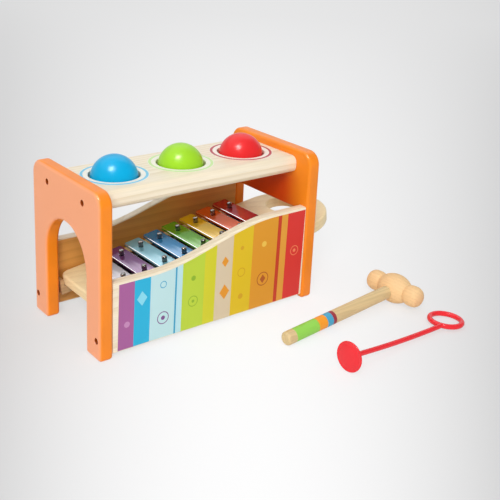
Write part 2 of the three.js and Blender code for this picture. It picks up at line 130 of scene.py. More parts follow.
class XylophoneSizes(bpy.types.PropertyGroup):
    """Sizes of the xylophone that a maker would change"""

    base_half: length("Base half width", 51.2, "Half the width of the board under the bars")
    base_start: length("Base start", 109.9, "Distance of the board's low end from the middle")
    base_round: length("Base round end", 136.33, "Distance of the round end's centre from the middle")
    base_thick: length("Base thickness", 12, "Thickness of the board under the bars")
    base_edge: length("Base edge", 2.4, "Rounding along the edges of the board")
    base_corner: length("Base corner", 9, "Radius of the board's low corners")
    slot_centre: length("Hand slot", 149.76, "Distance of the hand slot's centre from the middle")
    slot_half: length("Hand slot half width", 16, "Half the width of the hand slot")
    slot_reach: length("Hand slot reach", 31, "Half the length of the hand slot")
    bar_pitch: length("Bar pitch", 23.24, "Distance between neighbouring bars")
    bar_shift: length("Bar shift", 2.9, "Offset of the row of bars up the slope")
    bar_width: length("Bar width", 18.7, "Width of a bar")
    bar_thick: length("Bar thickness", 3, "Thickness of a bar")
    bar_corner: length("Bar corner", 2.5, "Radius of a bar's corners")
    bar_edge: length("Bar edge", 0.7, "Rounding along a bar's edges")
    bar_half: length("Longest bar", 46.2, "Half the length of the longest bar")
    bar_step: length("Bar step", 1, "How much shorter each bar is at each end")
    pin_share: FloatProperty(name="Pin share", default=0.535, min=0.0, max=1.0,
                             description="How far out the pins stand, as a share of the bar's half length")
    pin_shank: length("Pin shank", 2, "Radius of a pin's shank")
    pin_head: length("Pin head", 2.6, "Radius of a pin's head")
    pin_rise: length("Pin rise", 5.7, "Height of the pins over the bars")
    pin_hole: length("Pin hole", 2.6, "Radius of the holes in the bars")


class LooseSizes(bpy.types.PropertyGroup):
    """Sizes of the mallet and the beater that a maker would change"""

    head_radius: length("Head radius", 15.5, "Radius of the mallet head's barrel")
    knob_radius: length("Knob radius", 11, "Radius of the knobs at the head's ends")
    groove_radius: length("Groove radius", 9.2, "Radius of the grooves beside the barrel")
    groove_at: length("Groove place", 16.5, "Distance of the grooves from the head's middle")
    head_half: length("Head half length", 34.5, "Half the length of the mallet's head")
    handle_radius: length("Handle radius", 6.85, "Radius of the mallet's handle")
    handle_length: length("Handle length", 160.5, "Length of the handle from the head's middle")
    handle_socket: length("Handle socket", 9, "How far the handle goes past the head's middle")
    handle_round: length("Handle round", 3, "Rounding at the handle's free end")
    disc_radius: length("Disc radius", 14.7, "Radius of the beater's disc")
    disc_thick: length("Disc thickness", 2.4, "Thickness of the beater's disc")
    disc_dome: length("Disc dome", 0.8, "How far the disc's face bulges")
    stick_radius: length("Stick radius", 2.5, "Radius of the beater's stick")
    stick_bow: length("Stick bow", 6, "How far the stick's curve is pulled down")
    ring_outer: length("Ring radius", 18.85, "Outer radius of the beater's ring")
    ring_tube: length("Ring tube", 2.7, "Radius of the ring's round section")
    beater_length: length("Beater length", 150.8, "Distance from the disc to the ring's centre")


class Finishes(bpy.types.PropertyGroup):
    """Colours of the paints, woods and plastics"""

    # The edge colour is the lacquer's own; the face colour is painted sheen; inner and bore colours are
    # painted shade.
    panel_face_sheen: colour("Panel face", "#F7A474", "Thin lacquer on the broad outer faces")
    panel_edge: colour("Panel edge", "#F88A14", "Lacquer where the edges drank more of it")
    panel_inner_shade: colour("Panel inner face", "#DC4A08", "Heavier coat on the faces under the board")
    bore_shade: colour("Screw bore", "#9C4410", "Bare stained wood in the bores over the screws")
    pine_pale: colour("Pine early wood", "#F7EBD2", "Pale wood between the growth rings")
    pine_deep: colour("Pine late wood", "#E2CEA4", "Darker lines of the growth rings")
    # Painted shade: this colour darkens the inside face of the back panel, which the board shades.
    back_inside_shade: colour("Back panel stain", "#E8B066", "Stain on the inside face of the back panel")
    base_pale: colour("Base early wood", "#F8E3B2", "Pale wood of the board under the bars")
    base_deep: colour("Base late wood", "#E2C68C", "Growth rings of the board under the bars")
    # The strips' wood is oiled birch, made darker as painted shade for where they sit under the base.
    strip_pale_shaded: colour("Strip early wood", "#C6A074", "Oiled wood of the strips that carry the xylophone")
    strip_deep_shaded: colour("Strip late wood", "#AC885E", "Growth rings of the strips")
    head_wood: colour("Head beech", "#F6CE98", "Wood of the mallet's head")
    handle_wood: colour("Handle beech", "#E0C592", "Wood of the mallet's handle")
    ball_blue: colour("Blue ball", "#00ADE0", "Gloss lacquer of the first ball")
    ball_green: colour("Green ball", "#A2DB2B", "Gloss lacquer of the second ball")
    ball_red: colour("Red ball", "#EC2C2E", "Gloss lacquer of the third ball")
    ring_blue: colour("Blue ring", "#78C9E6", "Paint of the ring round the blue ball")
    ring_green: colour("Green ring", "#CDEBA0", "Paint of the ring round the green ball")
    ring_red: colour("Red ring", "#B5303F", "Paint of the ring round the red ball")
    ring_ground: colour("Ring ground", "#F6F2E4", "White paint inside the rings")
    beater_red: colour("Beater", "#EE2E35", "Moulded plastic of the beater")
    floor: colour("Floor", "#F2F2F2", "Paper that the set stands on")


# Colours of the bars from the low end, as lacquer over steel.
BAR_PAINTS = (
    ("silver", "#C9C4CA"), ("purple", "#7E3F86"), ("pale_blue", "#86C8DA"), ("blue", "#1C8AC4"),
    ("green", "#68B41A"), ("yellow", "#F2C412"), ("orange", "#EE6414"), ("red", "#BD1620"),
)

# Printed stripes: where each one ends along the front panel, in millimetres from its middle.
STRIPES = (
    (-109.3, "#E9DCC0"), (-92.9, "#A9609A"), (-75.8, "#27B4DC"), (-48.9, "#C2E4E6"),
    (-46.3, "#2F9FC8"), (-40.3, "#BCE3EA"), (-15.4, "#BFD63E"), (-1.6, "#D6D22C"),
    (19.0, "#DCC9AA"), (43.3, "#E4C11C"), (75.0, "#E29A26"), (79.0, "#C93A1C"),
    (87.8, "#E6A038"), (111.1, "#DD332C"), (116.0, "#E9DCC0"),
)
STRIPE_SPAN = 116.0
STRIPE_LEAN = 0.022

# Printed motifs: kind, place along and up the panel, size and line, in millimetres, and colour.
MOTIFS = (
    ("ring", -60, 26, 6.0, 0.9, "#7D4F8C"), ("disc", -60, 26, 2.2, 0, "#7D4F8C"),
    ("diamond", -83, 52, 5.5, 0, "#8ADBEE"), ("disc", -99, 30, 3.0, 0, "#C58BB8"),
    ("ring", -60, 60, 3.2, 0.8, "#2FA6CC"), ("disc", -26, 58, 2.6, 0, "#8DB62C"),
    ("ring", -26, 34, 5.2, 0.8, "#8DB62C"), ("disc", -26, 34, 1.6, 0, "#8DB62C"),
    ("diamond", 11.5, 34, 6.0, 0, "#E8992B"), ("diamond", 11.5, 66, 4.2, 0, "#E8992B"),
    ("disc", 32, 24, 3.0, 0, "#D9A51C"), ("ring", 32, 50, 4.4, 0.8, "#D3A01C"),
    ("disc", 32, 76, 2.2, 0, "#D9A51C"), ("ring", 60, 36, 7.0, 1.0, "#B4571C"),
    ("diamond", 60, 36, 3.6, 0, "#B4571C"), ("disc", 60, 74, 3.0, 0, "#F0C650"),
    ("ring", 101, 58, 5.0, 0.8, "#F08A5C"), ("disc", 101, 58, 1.8, 0, "#F08A5C"),
)

# Weights of the ways along and up a panel that make a motif a diamond.
DIAMOND_SIDES = (1.0, 0.75, 0.0)

# Painted bands of the mallet's handle: where each one ends, in millimetres from its free end, which is bare.
BANDS = (
    (10.5, None), (40.5, "#97D858"), (52.0, "#F9A02E"), (60.0, "#4FA9CC"), (64.5, "#9F3B44"),
)

# Sizes of the patterns in the finishes. Fibres and scratches are drawn as coarse as they need to show.
FIBRE_WIDTH = 0.9 * MM
FIBRE_LENGTH = 60 * MM
SPRAY_DRIFT = 28 * MM
FELT_FIBRE = 0.8 * MM
WIRE_SCRATCH = (0.3 * MM, 0.3 * MM, 4 * MM)
BAR_BRUSHING = (0.5 * MM, 25 * MM, 0.5 * MM)

# Where paints end: the rings' paint below the board's top, their white ground past the hole and the ring,
# the black felt bed, which is also painted shade, past the row of bars and short of their ends, and the
# print, in millimetres, under the wave.
PAINT_DROP = 0.6 * MM
GROUND_LAP = 2 * MM
BED_PAST_ROW = 4 * MM
BED_SHORT_OF_BARS = 10 * MM
PRINT_MARGIN = 2.6

# Reaches over which the end panels' painted colour changes: up to the outer face, for the painted sheen, and,
# where the painted shade under the board ends, off the inner face, off the bench's middle and up to the
# board's top.
SHEEN_REACH = (OUTER_HALF - 2.2 * MM, OUTER_HALF - 0.2 * MM)
SHADE_REACH = (
    (INNER_HALF + 0.2 * MM, INNER_HALF + 3 * MM),
    (24 * MM, 56 * MM),
    (BOARD_TOP - 28 * MM, BOARD_TOP - 12 * MM),
)

# Worn rims of a bar: how level a face there stands with the bar's top, as a middle and a half range.
RIM_LEVEL = (0.67, 0.31)

# Small sizes of the shapes. A point this close to a face or a bore's wall counts as on it.
ON_FACE = 0.05 * MM
WINDOW_CORNER = 3 * MM
BORE_RIM = 0.35 * MM
BOARD_SCREW_INSET = 10.5 * MM
SKIRT_SCREW_HEIGHT = 19.5 * MM
BAR_HOLE_RIM = 0.3 * MM
PIN_GAP = 0.3 * MM
PIN_RIM = 0.3 * MM
PIN_DEPTH = 8 * MM
BEATER_VOXEL = 0.55 * MM

# How the loose pieces lie, turned from the bench's long side, and how far round the ring the stick joins it.
MALLET_TURN = math.radians(3)
BEATER_TURN = math.radians(4.35)
STICK_JOIN = math.radians(20)


def opaque(tone):
    """A socket's colour, from a hex code or from linear red, green and blue."""
    return (*(linear(tone) if isinstance(tone, str) else tone), 1.0)


def darker(tone, share):
    """A share of a linear colour."""
    return tuple(share * value for value in tone)


def add(tree, kind, inputs=(), **settings):
    """Adds a node with its settings, links or sets its inputs, by place or name, and gives its outputs."""
    node = tree.nodes.new("ShaderNode" + kind)
    for key, value in settings.items():
        setattr(node, key, value)
    for key, value in inputs.items() if isinstance(inputs, dict) else enumerate(inputs):
        socket = node.inputs[key]
        if isinstance(value, bpy.types.NodeSocket):
            tree.links.new(value, socket)
        else:
            socket.default_value = opaque(value) if socket.type == "RGBA" else value
    return node.outputs


def start_material(name, **sockets):
    """A material with its shader's constant sockets set, its nodes, and its object coordinates."""
    material = bpy.data.materials.new(name)
    material.use_nodes = True
    tree = material.node_tree
    shader = tree.nodes["Principled BSDF"]
    for key, value in sockets.items():
        shader.inputs[key.replace("_", " ")].default_value = value
    return material, tree, add(tree, "TexCoord")["Object"]


def linked(material, **sources):
    """Links outputs to the sockets of a material's shader."""
    tree = material.node_tree
    for key, source in sources.items():
        tree.links.new(source, tree.nodes["Principled BSDF"].inputs[key.replace("_", " ")])
    return material


def wood(name, pale, deep, ring_mm=4.5, pith=(0.0, 0.02, 0.06), axis="X", gloss=0.42, contrast=0.45,
         sheen=0.45):
    """Sawn, sanded and clear-lacquered wood: soft growth rings and fine fibres with a satin sheen.

    The rings lie about a pith line, and the fibres are drawn out along the axis."""
    material, tree, place = start_material(name, Roughness=gloss, Specular_IOR_Level=sheen)
    heart = add(tree, "Mapping", {"Vector": place, "Location": pith})[0]
    # A wave of rings repeats every 2 pi over 20 times its scale.
    rings = add(tree, "TexWave", {"Vector": heart, "Scale": 2 * math.pi / (20 * ring_mm * MM),
                                  "Distortion": 2.5, "Detail": 2.0, "Detail Scale": 0.25,
                                  "Detail Roughness": 0.5},
                wave_type="RINGS", rings_direction=axis, wave_profile="SAW")["Fac"]
    stretch = [1 / (FIBRE_LENGTH if way == axis else FIBRE_WIDTH) for way in "XYZ"]
    drawn = add(tree, "Mapping", {"Vector": place, "Scale": stretch})[0]
    fibres = add(tree, "TexNoise", {"Vector": drawn, "Scale": 1.0, "Detail": 3.0, "Roughness": 0.6})["Fac"]
    late = add(tree, "MapRange", (rings, 0.25, 1.0, 0.0, contrast), interpolation_type="SMOOTHSTEP")[0]
    sawn = add(tree, "Mix", {0: late, 6: pale, 7: deep}, data_type="RGBA")[2]
    spread = add(tree, "MapRange", (fibres, 0.3, 0.7, 0.93, 1.05))[0]
    tinted = add(tree, "Mix", {0: 1.0, 6: sawn, 7: spread}, data_type="RGBA", blend_type="MULTIPLY")[2]
    relief = add(tree, "Bump", {"Height": fibres, "Strength": 0.12, "Distance": 0.15 * MM})[0]
    linked(material, Base_Color=tinted, Normal=relief)
    return material, tree, place, tinted


def lacquer(name, tone, peel_mm, **sockets):
    """Sprayed lacquer: an even colour with a faint drift and the slight ripple that spraying leaves."""
    material, tree, place = start_material(name, **sockets)
    drift = add(tree, "TexNoise", {"Vector": place, "Scale": 1 / SPRAY_DRIFT, "Detail": 2.0})["Fac"]
    shade = add(tree, "MapRange", (drift, 0.3, 0.7, 0.95, 1.04))[0]
    tinted = add(tree, "Mix", {0: 1.0, 6: tone, 7: shade}, data_type="RGBA", blend_type="MULTIPLY")[2]
    ripple = add(tree, "TexNoise", {"Vector": place, "Scale": 1 / (peel_mm * MM), "Detail": 1.0})["Fac"]
    relief = add(tree, "Bump", {"Height": ripple, "Strength": 0.05, "Distance": 0.1 * MM})[0]
    linked(material, Base_Color=tinted, Normal=relief)
    return material, tree, place, tinted


def panel_lacquer(finishes):
    """Orange satin lacquer on beech plywood: painted sheen on outer faces; painted shade under the board and
    in bores.

    The attribute bore is 1 on the walls of the screw bores."""
    material, tree, place, paint = lacquer(
        "orange_satin_lacquer_with_painted_sheen_and_shade", finishes.panel_edge, 2.2, Roughness=0.36, Specular_IOR_Level=0.38)
    centred = add(tree, "VectorMath", (place, tuple(BENCH)), operation="SUBTRACT")[0]
    ways = add(tree, "SeparateXYZ", (add(tree, "VectorMath", (centred,), operation="ABSOLUTE")[0],))
    # Painted shade: a darker colour on the inner faces under the board, behind its nose, where its shadow
    # falls.
    under_board_shade = 1.0
    for way, reach in zip(ways, SHADE_REACH):
        fade = add(tree, "MapRange", (way, *reach, 1.0, 0.0), interpolation_type="SMOOTHSTEP")[0]
        under_board_shade = add(tree, "Math", (under_board_shade, fade), operation="MULTIPLY")[0]
    # Painted sheen: a paler colour on the outer faces.
    face = add(tree, "MapRange", (ways[0], *SHEEN_REACH), interpolation_type="SMOOTHSTEP")[0]
    # Painted shade: a brown colour on the walls of the screw bores.
    bore = add(tree, "Attribute", attribute_name="bore")["Fac"]
    for share, tone in ((under_board_shade, finishes.panel_inner_shade), (face, finishes.panel_face_sheen),
                        (bore, finishes.bore_shade)):
        paint = add(tree, "Mix", {0: share, 6: paint, 7: tone}, data_type="RGBA")[2]
    return linked(material, Base_Color=paint)


def board_paint(finishes, sizes):
    """The top board's birch with a white ground and a coloured ring painted round each hole."""
    material, tree, place, painted = wood(
        "birch_board_with_rings", finishes.pine_pale, finishes.pine_deep, 5.0, (0.0, -BENCH[1] + 0.03, -0.12))
    x, y, z = add(tree, "SeparateXYZ", (place,))
    top = add(tree, "Math", (z, BOARD_TOP - PAINT_DROP), operation="GREATER_THAN")[0]
    flat = add(tree, "CombineXYZ", (x, y))[0]
    hole, ring = sizes.ball_hole / 2, sizes.ring_radius
    for number, name in enumerate(BALLS):
        centre = (BENCH[0] + (number - 1) * sizes.ball_pitch, BENCH[1], 0.0)
        reach = add(tree, "VectorMath", (flat, centre), operation="DISTANCE")["Value"]
        for tone, radius, width in (
            (finishes.ring_ground, (hole + ring) / 2, ring - hole + 2 * GROUND_LAP),
            (getattr(finishes, f"ring_{name}"), ring, sizes.ring_width),
        ):
            inside = add(tree, "Math", (reach, radius, width / 2), operation="COMPARE")[0]
            shown = add(tree, "Math", (inside, top), operation="MULTIPLY")[0]
            painted = add(tree, "Mix", {0: shown, 6: painted, 7: tone}, data_type="RGBA")[2]
    return linked(material, Base_Color=painted)


def base_wood(finishes, sizes):
    """Birch with a black felt field painted under the bars: a felt sheet, and painted shade that keeps the
    gaps dark.
    """
    material, tree, place, base = wood(
        "birch_base_with_felt_bed_as_painted_shade", finishes.base_pale, finishes.base_deep, 4.2, (0.0, -BENCH[1], 0.05),
        contrast=0.3)
    along, _ = bar_places(sizes)
    row = (along[-1] - along[0]) / 2 * math.cos(BASE_SLOPE) + BED_PAST_ROW
    middle = BENCH + (sizes.bar_shift * math.cos(BASE_SLOPE), 0, 0)
    bed = add(tree, "Mapping", {"Vector": place, "Location": tuple(middle),
                                "Scale": (row, sizes.bar_half - BED_SHORT_OF_BARS, 1.0)},
              vector_type="TEXTURE")[0]
    x, y, _ = add(tree, "SeparateXYZ", (bed,))
    up = add(tree, "SeparateXYZ", (add(tree, "NewGeometry")["True Normal"],))["Z"]
    mask = add(tree, "Math", (up, 0.5), operation="GREATER_THAN")[0]
    for way in (x, y):
        inside = add(tree, "Math", (way, 0.0, 1.0), operation="COMPARE")[0]
        mask = add(tree, "Math", (mask, inside), operation="MULTIPLY")[0]
    tangle = add(tree, "TexNoise", {"Vector": place, "Scale": 1 / FELT_FIBRE, "Detail": 3.0})["Fac"]
    # Painted shade: the black felt field also stands for the deep shade in the gaps between the bars.
    felt = add(tree, "Mix", {0: tangle, 6: "#0B0B0D", 7: "#1B1A1D"}, data_type="RGBA")[2]
    felt_and_shade = add(tree, "Mix", {0: mask, 6: base, 7: felt}, data_type="RGBA")[2]
    return linked(material, Base_Color=felt_and_shade)


def printed_panel(finishes):
    """Pine with a screen-printed front: rainbow stripes, with rings, dots and diamonds in paler inks.

    The attribute panel_mm holds, for each point, its place along the panel, how far it is under
    the top edge, and its height, all in millimetres; print_face is 1 on the front face alone."""
    material, tree, _, base = wood(
        "printed_pine", finishes.pine_pale, finishes.pine_deep, 4.0, (0.0, 0.05, -0.03), sheen=0.3)
    where = add(tree, "Attribute", attribute_name="panel_mm")["Vector"]
    along, under, up = add(tree, "SeparateXYZ", (where,))
    lean = add(tree, "Math", (up, -STRIPE_LEAN, along), operation="MULTIPLY_ADD")[0]
    share = add(tree, "MapRange", (lean, -STRIPE_SPAN, STRIPE_SPAN))[0]
    ink = add(tree, "ValToRGB", (share,))[0]
    ramp = ink.node.color_ramp
    ramp.interpolation = "CONSTANT"
    ramp.elements.remove(ramp.elements[1])
    ramp.elements[0].color = opaque(STRIPES[0][1])
    for (start, _), (_, code) in zip(STRIPES, STRIPES[1:]):
        ramp.elements.new((start + STRIPE_SPAN) / (2 * STRIPE_SPAN)).color = opaque(code)
    flat = add(tree, "CombineXYZ", (along, up))[0]
    for kind, x, z, size, line, code in MOTIFS:
        away = add(tree, "VectorMath", (flat, (x, z, 0.0)), operation="SUBTRACT")[0]
        if kind == "diamond":
            away = add(tree, "VectorMath", (away,), operation="ABSOLUTE")[0]
            reach = add(tree, "VectorMath", (away, DIAMOND_SIDES), operation="DOT_PRODUCT")["Value"]
        else:
            reach = add(tree, "VectorMath", (away,), operation="LENGTH")["Value"]
        middle, half = (size, line / 2) if line else (0.0, size)
        shape = add(tree, "Math", (reach, middle, half), operation="COMPARE")[0]
        ink = add(tree, "Mix", {0: shape, 6: ink, 7: code}, data_type="RGBA")[2]
    mask = add(tree, "Attribute", attribute_name="print_face")["Fac"]
    for measure, test, limit in ((under, "GREATER_THAN", PRINT_MARGIN), (lean, "GREATER_THAN", STRIPES[0][0]),
                                 (lean, "LESS_THAN", STRIPES[-2][0])):
        part = add(tree, "Math", (measure, limit), operation=test)[0]
        mask = add(tree, "Math", (mask, part), operation="MULTIPLY")[0]
    printed = add(tree, "Mix", {0: mask, 6: base, 7: ink}, data_type="RGBA")[2]
    return linked(material, Base_Color=printed)


def shaded_back_panel(finishes):
    """Pine whose inside face, where print_face is 1, is darkened brown as painted shade; its sawn edges stay
    pale.
    """
    material, tree, _, base = wood(
        "pine_with_painted_shade_inside", finishes.pine_pale, finishes.pine_deep, 9.0, (0.0, -0.2, 0.2))
    face = add(tree, "Attribute", attribute_name="print_face")["Fac"]
    # Painted shade: the inside face is darkened brown.
    shaded_inside = add(tree, "Mix", {0: face, 6: base, 7: finishes.back_inside_shade}, data_type="RGBA",
                  blend_type="MULTIPLY")[2]
    return linked(material, Base_Color=shaded_inside)


def banded_handle(finishes):
    """Turned beech dowel with painted bands; the attribute along_mm is the distance from its free end."""
    tone = finishes.handle_wood
    material, tree, _, painted = wood(
        "beech_handle_with_bands", tone, darker(tone, 0.78), 3.0, (0.0, -BENCH[1] + 0.17, -0.02), sheen=0.2)
    along = add(tree, "Attribute", attribute_name="along_mm")["Fac"]
    for (start, _), (end, code) in zip(BANDS, BANDS[1:]):
        inside = add(tree, "Math", (along, (start + end) / 2, (end - start) / 2), operation="COMPARE")[0]
        painted = add(tree, "Mix", {0: inside, 6: painted, 7: code}, data_type="RGBA")[2]
    return linked(material, Base_Color=painted)


def steel(name, code, rough):
    """Drawn steel wire: fine scratches along it break up its reflections."""
    material, tree, place = start_material(name, Base_Color=opaque(code), Metallic=1.0)
    drawn = add(tree, "Mapping", {"Vector": place, "Scale": [1 / size for size in WIRE_SCRATCH]})[0]
    scratches = add(tree, "TexNoise", {"Vector": drawn, "Scale": 1.0, "Detail": 2.0})["Fac"]
    dull = add(tree, "MapRange", (scratches, 0.0, 1.0, rough - 0.08, rough + 0.1))[0]
    return linked(material, Roughness=dull)


def felt_cloth(name, code):
    """Pressed wool felt: a matte tangle of short fibres."""
    material, tree, place = start_material(name, Roughness=0.95, Sheen_Weight=0.2)
    tangle = add(tree, "TexNoise", {"Vector": place, "Scale": 1 / FELT_FIBRE, "Detail": 4.0})["Fac"]
    shade = add(tree, "Mix", {0: tangle, 6: darker(linear(code), 0.6), 7: code}, data_type="RGBA")[2]
    relief = add(tree, "Bump", {"Height": tangle, "Strength": 0.5, "Distance": 0.3 * MM})[0]
    return linked(material, Base_Color=shade, Normal=relief)


def moulded(name, tone, gloss):
    """Injection-moulded plastic: even colour, a soft gloss and the faint flow marks of the mould."""
    return lacquer(name, tone, 3.0, Roughness=gloss, IOR=1.49, Specular_IOR_Level=0.3)[0]


def bar_lacquer(name, code):
    """Coloured lacquer on a flat steel bar: its clear coat mirrors the room, and its worn rims are bare."""
    material, tree, place, base = lacquer(
        name, code, 2.0, Specular_IOR_Level=0.2, Coat_Weight=1.0, Coat_Roughness=0.04, Coat_IOR=1.7)
    drawn = add(tree, "Mapping", {"Vector": place, "Scale": [1 / size for size in BAR_BRUSHING]})[0]
    lines = add(tree, "TexNoise", {"Vector": drawn, "Scale": 1.0, "Detail": 2.0})["Fac"]
    dull = add(tree, "MapRange", (lines, 0.0, 1.0, 0.05, 0.14))[0]
    slope = BASE_SLOPE + WEDGE
    upward = (-math.sin(slope), 0.0, math.cos(slope))
    facing = add(tree, "NewGeometry")["True Normal"]
    level = add(tree, "VectorMath", (facing, upward), operation="DOT_PRODUCT")["Value"]
    rim = add(tree, "Math", (level, *RIM_LEVEL), operation="COMPARE")[0]
    metal = add(tree, "MapRange", (rim, 0.0, 1.0, 0.28, 1.0))[0]
    worn = add(tree, "Mix", {0: rim, 6: base, 7: "#E6E8EA"}, data_type="RGBA")[2]
    return linked(material, Roughness=dull, Metallic=metal, Base_Color=worn)


def seen_rays(tree):
    """One where a ray shows the room itself, straight, mirrored or through a piece; nought for its light."""
    path = add(tree, "LightPath")
    seen = add(tree, "Math", (path["Is Camera Ray"], path["Is Glossy Ray"]), operation="MAXIMUM")[0]
    return add(tree, "Math", (seen, path["Is Transmission Ray"]), operation="MAXIMUM")[0]


def room_level(tree):
    """Strength of the room: white where it is seen, a dim room with a bright window where it is mirrored."""
    _, depth, height = add(tree, "SeparateXYZ", (add(tree, "TexCoord")["Generated"],))
    ease = {"interpolation_type": "SMOOTHSTEP"}
    backdrop = add(tree, "MapRange", (height, *BACKDROP_TOP, 1.0, DIM_LEVEL), **ease)[0]
    window = add(tree, "MapRange", (height, *WINDOW_SILL, DIM_LEVEL, WINDOW_LEVEL), **ease)[0]
    behind = add(tree, "Math", (backdrop, window), operation="MAXIMUM")[0]
    mirrored = add(tree, "MapRange", (depth, *BACK_DEPTH, DIM_LEVEL, behind), **ease)[0]
    glossy = add(tree, "LightPath")["Is Glossy Ray"]
    shown = add(tree, "MapRange", (glossy, 0.0, 1.0, 1.0, mirrored))[0]
    return add(tree, "MapRange", (seen_rays(tree), 0.0, 1.0, ROOM_LIGHT, shown))[0]


def paper_floor(finishes):
    """White studio paper, part lit from under where it is seen, so that it keeps a faint soft shadow.

    A fan of light opens across it. It fades with the square of the way off its middle, and with distance."""
    material, tree, place = start_material(
        "studio_paper", Base_Color=opaque(finishes.floor), Roughness=0.9, Specular_IOR_Level=0.0)
    fan = add(tree, "Mapping", {"Vector": place, "Location": tuple(BENCH + FAN_START),
                                "Rotation": (0.0, 0.0, FAN_TURN)}, vector_type="TEXTURE")[0]
    aside, ahead, _ = add(tree, "SeparateXYZ", (fan,))
    slope = add(tree, "Math", (aside, ahead), operation="DIVIDE")[0]
    off = add(tree, "Math", (slope, FAN_MIDDLE), operation="SUBTRACT")[0]
    square = add(tree, "Math", (off, off), operation="MULTIPLY")[0]
    middle, rim = (add(tree, "MapRange", (ahead, *FAN_REACH, *levels))[0]
                   for levels in (FAN_LEVEL, FAN_RIM_LEVEL))
    # Before the fan is this far out it has no rim.
    rim = add(tree, "MapRange", (ahead, *FAN_MOUTH, middle, rim), interpolation_type="SMOOTHSTEP")[0]
    fade = add(tree, "MapRange", (square, 0.0, FAN_SPREAD ** 2, middle, rim))[0]
    glow = add(tree, "Emission", {"Color": fade})[0]
    share = add(tree, "Math", (seen_rays(tree), GLOW_SHARE), operation="MULTIPLY")[0]
    both = add(tree, "MixShader", (share, tree.nodes["Principled BSDF"].outputs[0], glow))[0]
    tree.links.new(both, tree.nodes["Material Output"].inputs["Surface"])
    return material


def grid_quads(rows, columns, closed=False):
    """Quads that join neighbouring points of a grid, row by row; closed also joins the ends of each row."""
    near = np.arange(rows - 1)[:, None] * columns
    far = near + columns
    here = np.arange(columns if closed else columns - 1)[None, :]
    after = (here + 1) % columns
    return np.stack((near + here, near + after, far + after, far + here), -1).reshape(-1, 4)


def surface(points, closed=False):
    """A shell from a grid of points, shaped rows by columns by three."""
    return points.reshape(-1, 3), grid_quads(*points.shape[:2], closed).tolist()


def lathe(profile, steps):
    """A profile of (radius, height) turned about Z in even steps."""
    turn = np.linspace(0, 2 * math.pi, steps, endpoint=False)
    radius, height = np.asarray(profile).T[..., None]
    points = np.stack((radius * np.cos(turn), radius * np.sin(turn), height + 0 * turn), -1)
    return surface(points, closed=True)


def tube(path, radius, sides):
    """A round section carried along a path; each ring stands square to the path's direction."""
    ahead = np.gradient(path, axis=0)
    ahead /= np.linalg.norm(ahead, axis=1, keepdims=True)
    across = np.cross(ahead, (0.0, 0.0, 1.0))
    across /= np.linalg.norm(across, axis=1, keepdims=True)
    above = np.cross(across, ahead)
    turn = np.linspace(0, 2 * math.pi, sides, endpoint=False)
    ring = across[:, None] * np.cos(turn)[:, None] + above[:, None] * np.sin(turn)[:, None]
    points, faces = surface(path[:, None] + radius * ring, closed=True)
    count = len(points)
    faces += [list(range(sides)), list(range(count - sides, count))]
    return points, faces


def rounded(corners, steps=10):
    """An outline whose corners, given as (x, y, radius), are arcs that touch both of their sides."""
    corners = np.asarray(corners, float)
    runs = []
    for before, here, after in zip(np.roll(corners, 1, 0), corners, np.roll(corners, -1, 0)):
        back = (before - here)[:2] / np.linalg.norm((before - here)[:2])
        on = (after - here)[:2] / np.linalg.norm((after - here)[:2])
        half = math.acos(np.clip(back @ on, -1, 1)) / 2
        reach = here[2] / math.tan(half)
        centre = here[:2] + (back + on) / np.linalg.norm(back + on) * here[2] / math.sin(half)
        first = here[:2] + back * reach - centre
        last = here[:2] + on * reach - centre
        sweep = np.linspace(0, 1, steps)[:, None]
        swing = math.pi - 2 * half
        arc = np.sin((1 - sweep) * swing) * first + np.sin(sweep * swing) * last
        runs.append(centre + arc / math.sin(swing))
    outline = np.concatenate(runs)
    keep = np.linalg.norm(outline - np.roll(outline, 1, 0), axis=1) > 1e-6
    return outline[keep]


def arc(x, y, radius, start, end, steps):
    """Points round a centre, from one angle to another, in half turns."""
    turn = math.pi * np.linspace(start, end, steps)
    return np.stack((x + radius * np.cos(turn), y + radius * np.sin(turn)), -1)


def circle(x, y, radius, steps):
    """A round hole's outline, run clockwise so that the material is on its left."""
    return arc(x, y, radius, 0, -2, steps + 1)[:-1]


def inward(outline):
    """Each point's step into the material, to the outline's left, that moves both its sides by one unit."""
    side = np.roll(outline, -1, 0) - outline
    side /= np.linalg.norm(side, axis=1, keepdims=True)
    left = np.stack((-side[:, 1], side[:, 0]), -1)
    before = np.roll(left, 1, 0)
    return (left + before) / (1 + np.sum(left * before, 1, keepdims=True))


def flat_face(loops):
    """A shell that closes a flat face: the first loop is its outline, and the others are its holes."""
    faces = tessellate_polygon([[Vector(point) for point in loop] for loop in loops])
    return np.concatenate(loops), [list(face) for face in faces]


def plate(loops, thick, steps=5):
    """A flat plate from z = 0 up; each loop is an outline and the radius that rounds its rims."""
    shells = []
    rims = ([], [])
    for outline, edge in loops:
        inset, level = np.concatenate((arc(edge, edge, edge, -0.5, -1, steps),
                                       arc(edge, thick - edge, edge, 1, 0.5, steps))).T
        flat = outline + inset[:, None, None] * inward(outline)
        points = np.concatenate((flat, np.broadcast_to(level[:, None, None], (*flat.shape[:2], 1))), -1)
        shells.append(surface(points, closed=True))
        rims[0].append(points[0])
        rims[1].append(points[-1])
    return shells + [flat_face(rim) for rim in rims]


def moved(shells, turn=None, shift=(0.0, 0.0, 0.0)):
    """Turns every shell by a matrix and then shifts it."""
    turn = np.eye(3) if turn is None else np.array(turn)
    return [(points @ turn.T + np.asarray(shift), faces) for points, faces in shells]


# The turn that takes the third axis over to X: for a plate drawn in Y and Z, or a turned piece laid along X.
TO_X = np.array(((0, 0, 1), (1, 0, 0), (0, 1, 0)), float)


def about_y(angle):
    """The turn that lifts the +X end by an angle."""
    c, s = math.cos(angle), math.sin(angle)
    return np.array(((c, 0, -s), (0, 1, 0), (s, 0, c)))


def about_z(angle):
    """The turn about the upright axis, from X to Y."""
    c, s = math.cos(angle), math.sin(angle)
    return np.array(((c, -s, 0), (s, c, 0), (0, 0, 1)))


